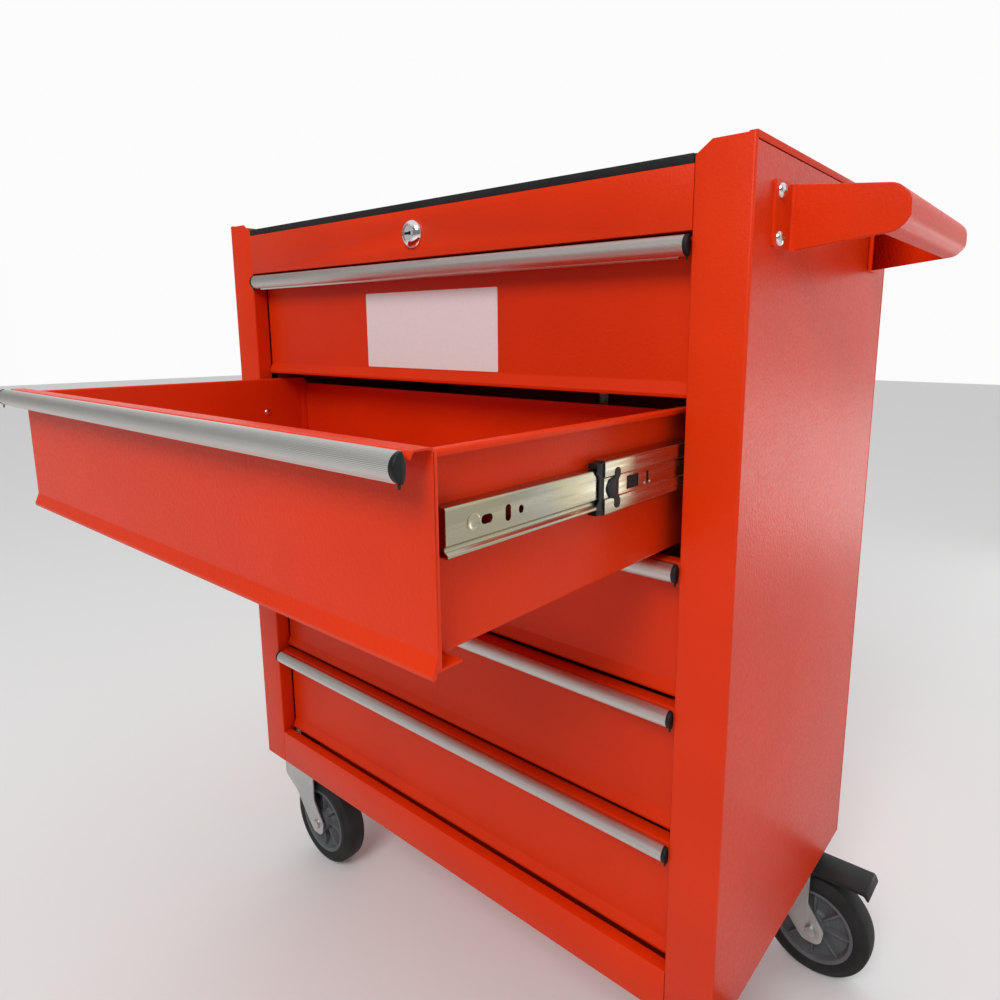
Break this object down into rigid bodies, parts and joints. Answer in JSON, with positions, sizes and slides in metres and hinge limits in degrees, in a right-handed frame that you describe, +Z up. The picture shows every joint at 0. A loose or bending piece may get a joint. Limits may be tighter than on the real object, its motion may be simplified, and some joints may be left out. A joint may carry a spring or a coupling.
{
  "type": "tool cart",
  "caption": "Wheeled sheet-steel tool cart with drawers on telescopic slides, a central lock, a worktop mat and a push handle on one side.",
  "frame": {"origin": "on the floor, under the middle of the bounding box", "axes": "+Z up, +X to the right seen from the front, towards the side handle, +Y from the drawers to the back"},
  "size_m": [0.762, 0.613, 0.87],
  "materials": {
    "red_powder_coat": "semi-gloss orange-red powder coat with a fine texture",
    "black_mat": "matt, finely ribbed",
    "zinc_plated_steel": "zinc-plated, slightly yellow",
    "chrome": "polished",
    "nickel_fasteners": "nickel-plated",
    "caster_steel": "zinc-plated pressed steel",
    "satin_aluminium": "satin anodised, finely ribbed",
    "black_plastic": "moulded",
    "wheel_plastic": "moulded grey",
    "pedal_plastic": "moulded black",
    "tyre": "black rubber"
  },
  "bodies": {
    "cabinet": {"side_panel_left": "red_powder_coat", "side_panel_right": "red_powder_coat", "back_panel": "red_powder_coat", "top_panel": "red_powder_coat", "lock_rail": "red_powder_coat", "bottom_rail": "red_powder_coat", "base_panel": "red_powder_coat", "side_handle_grip": "red_powder_coat", "side_handle_front_bracket": "red_powder_coat", "side_handle_rear_bracket": "red_powder_coat", "top_mat": "black_mat", "slide_uprights": "zinc_plated_steel", "outer_slide_members": "zinc_plated_steel", "lock_housing": "chrome", "side_handle_screws": "nickel_fasteners", "side_handle_nuts": "nickel_fasteners", "caster_plates": "caster_steel", "caster_bolts": "nickel_fasteners"},
    "lock": {"lock_plug": "chrome", "lock_cam": "zinc_plated_steel"},
    "lock_bar": {"lock_bar": "zinc_plated_steel"},
    "drawer_1": {"drawer_1_tray": "red_powder_coat", "drawer_1_handle": "satin_aluminium", "drawer_1_end_caps": "black_plastic", "drawer_1_slide_members": "zinc_plated_steel"},
    "intermediate_1": {"drawer_1_intermediate_slides": "zinc_plated_steel"},
    "drawer_2": {"drawer_2_tray": "red_powder_coat", "drawer_2_handle": "satin_aluminium", "drawer_2_end_caps": "black_plastic", "drawer_2_slide_members": "zinc_plated_steel"},
    "intermediate_2": {"drawer_2_intermediate_slides": "zinc_plated_steel"},
    "drawer_3": {"drawer_3_tray": "red_powder_coat", "drawer_3_handle": "satin_aluminium", "drawer_3_end_caps": "black_plastic", "drawer_3_slide_members": "zinc_plated_steel"},
    "intermediate_3": {"drawer_3_intermediate_slides": "zinc_plated_steel"},
    "drawer_4": {"drawer_4_tray": "red_powder_coat", "drawer_4_handle": "satin_aluminium", "drawer_4_end_caps": "black_plastic", "drawer_4_slide_members": "zinc_plated_steel"},
    "intermediate_4": {"drawer_4_intermediate_slides": "zinc_plated_steel"},
    "drawer_5": {"drawer_5_tray": "red_powder_coat", "drawer_5_handle": "satin_aluminium", "drawer_5_end_caps": "black_plastic", "drawer_5_slide_members": "zinc_plated_steel"},
    "intermediate_5": {"drawer_5_intermediate_slides": "zinc_plated_steel"},
    "fork_front_left": {"caster_fork_front_left": "caster_steel"},
    "wheel_front_left": {"caster_tyre_front_left": "tyre", "caster_hub_front_left": "wheel_plastic"},
    "fork_front_right": {"caster_fork_front_right": "caster_steel"},
    "wheel_front_right": {"caster_tyre_front_right": "tyre", "caster_hub_front_right": "wheel_plastic"},
    "brake_front_right": {"brake_pedal_front_right": "pedal_plastic"},
    "fork_rear_left": {"caster_fork_rear_left": "caster_steel"},
    "wheel_rear_left": {"caster_tyre_rear_left": "tyre", "caster_hub_rear_left": "wheel_plastic"},
    "fork_rear_right": {"caster_fork_rear_right": "caster_steel"},
    "wheel_rear_right": {"caster_tyre_rear_right": "tyre", "caster_hub_rear_right": "wheel_plastic"},
    "brake_rear_right": {"brake_pedal_rear_right": "pedal_plastic"}
  },
  "joints": [
    {"name": "drawer_1_slide", "type": "slide", "parent": "cabinet", "child": "drawer_1", "axis": [0, -1, 0], "range_m": [0, 0.3]},
    {"name": "intermediate_1_slide", "type": "slide", "parent": "cabinet", "child": "intermediate_1", "axis": [0, -1, 0], "range_m": [0, 0.15]},
    {"name": "drawer_2_slide", "type": "slide", "parent": "cabinet", "child": "drawer_2", "axis": [0, -1, 0], "range_m": [-0.2675, 0.0325]},
    {"name": "intermediate_2_slide", "type": "slide", "parent": "cabinet", "child": "intermediate_2", "axis": [0, -1, 0], "range_m": [-0.13375, 0.01625]},
    {"name": "drawer_3_slide", "type": "slide", "parent": "cabinet", "child": "drawer_3", "axis": [0, -1, 0], "range_m": [0, 0.3]},
    {"name": "intermediate_3_slide", "type": "slide", "parent": "cabinet", "child": "intermediate_3", "axis": [0, -1, 0], "range_m": [0, 0.15]},
    {"name": "drawer_4_slide", "type": "slide", "parent": "cabinet", "child": "drawer_4", "axis": [0, -1, 0], "range_m": [0, 0.3]},
    {"name": "intermediate_4_slide", "type": "slide", "parent": "cabinet", "child": "intermediate_4", "axis": [0, -1, 0], "range_m": [0, 0.15]},
    {"name": "drawer_5_slide", "type": "slide", "parent": "cabinet", "child": "drawer_5", "axis": [0, -1, 0], "range_m": [0, 0.3]},
    {"name": "intermediate_5_slide", "type": "slide", "parent": "cabinet", "child": "intermediate_5", "axis": [0, -1, 0], "range_m": [0, 0.15]},
    {"name": "lock_turn", "type": "hinge", "parent": "cabinet", "child": "lock", "pos_m": [-0.041, -0.0335, 0.8325], "axis": [0, 1, 0], "range_deg": [0, 90]},
    {"name": "lock_bar_drop", "type": "slide", "parent": "cabinet", "child": "lock_bar", "axis": [0, 0, -1], "range_m": [0, 0.01]},
    {"name": "swivel_front_left", "type": "hinge", "parent": "cabinet", "child": "fork_front_left", "pos_m": [-0.3395, 0.01, 0.145], "axis": [0, 0, 1], "continuous": true},
    {"name": "wheel_front_left", "type": "hinge", "parent": "fork_front_left", "child": "wheel_front_left", "pos_m": [-0.3015, 0.01, 0.0625], "axis": [0, 1, 0], "continuous": true},
    {"name": "swivel_front_right", "type": "hinge", "parent": "cabinet", "child": "fork_front_right", "pos_m": [0.2575, 0.01, 0.145], "axis": [0, 0, 1], "continuous": true},
    {"name": "wheel_front_right", "type": "hinge", "parent": "fork_front_right", "child": "wheel_front_right", "pos_m": [0.2955, 0.01, 0.0625], "axis": [0, 1, 0], "continuous": true},
    {"name": "brake_front_right", "type": "hinge", "parent": "fork_front_right", "child": "brake_front_right", "pos_m": [0.2835, 0.01, 0.131], "axis": [0, 1, 0], "range_deg": [0, 10]},
    {"name": "swivel_rear_left", "type": "hinge", "parent": "cabinet", "child": "fork_rear_left", "pos_m": [-0.3395, 0.263, 0.145], "axis": [0, 0, 1], "continuous": true},
    {"name": "wheel_rear_left", "type": "hinge", "parent": "fork_rear_left", "child": "wheel_rear_left", "pos_m": [-0.3015, 0.263, 0.0625], "axis": [0, 1, 0], "continuous": true},
    {"name": "swivel_rear_right", "type": "hinge", "parent": "cabinet", "child": "fork_rear_right", "pos_m": [0.2575, 0.263, 0.145], "axis": [0, 0, 1], "continuous": true},
    {"name": "wheel_rear_right", "type": "hinge", "parent": "fork_rear_right", "child": "wheel_rear_right", "pos_m": [0.2955, 0.263, 0.0625], "axis": [0, 1, 0], "continuous": true},
    {"name": "brake_rear_right", "type": "hinge", "parent": "fork_rear_right", "child": "brake_rear_right", "pos_m": [0.2835, 0.263, 0.131], "axis": [0, 1, 0], "range_deg": [0, 10]}
  ],
  "couplings": [
    {"joint": "intermediate_1_slide", "follows": "drawer_1_slide", "ratio": 0.5},
    {"joint": "intermediate_2_slide", "follows": "drawer_2_slide", "ratio": 0.5},
    {"joint": "intermediate_3_slide", "follows": "drawer_3_slide", "ratio": 0.5},
    {"joint": "intermediate_4_slide", "follows": "drawer_4_slide", "ratio": 0.5},
    {"joint": "intermediate_5_slide", "follows": "drawer_5_slide", "ratio": 0.5},
    {"joint": "lock_turn", "follows": "lock_bar_drop", "rad_per_m": 157.08}
  ]
}
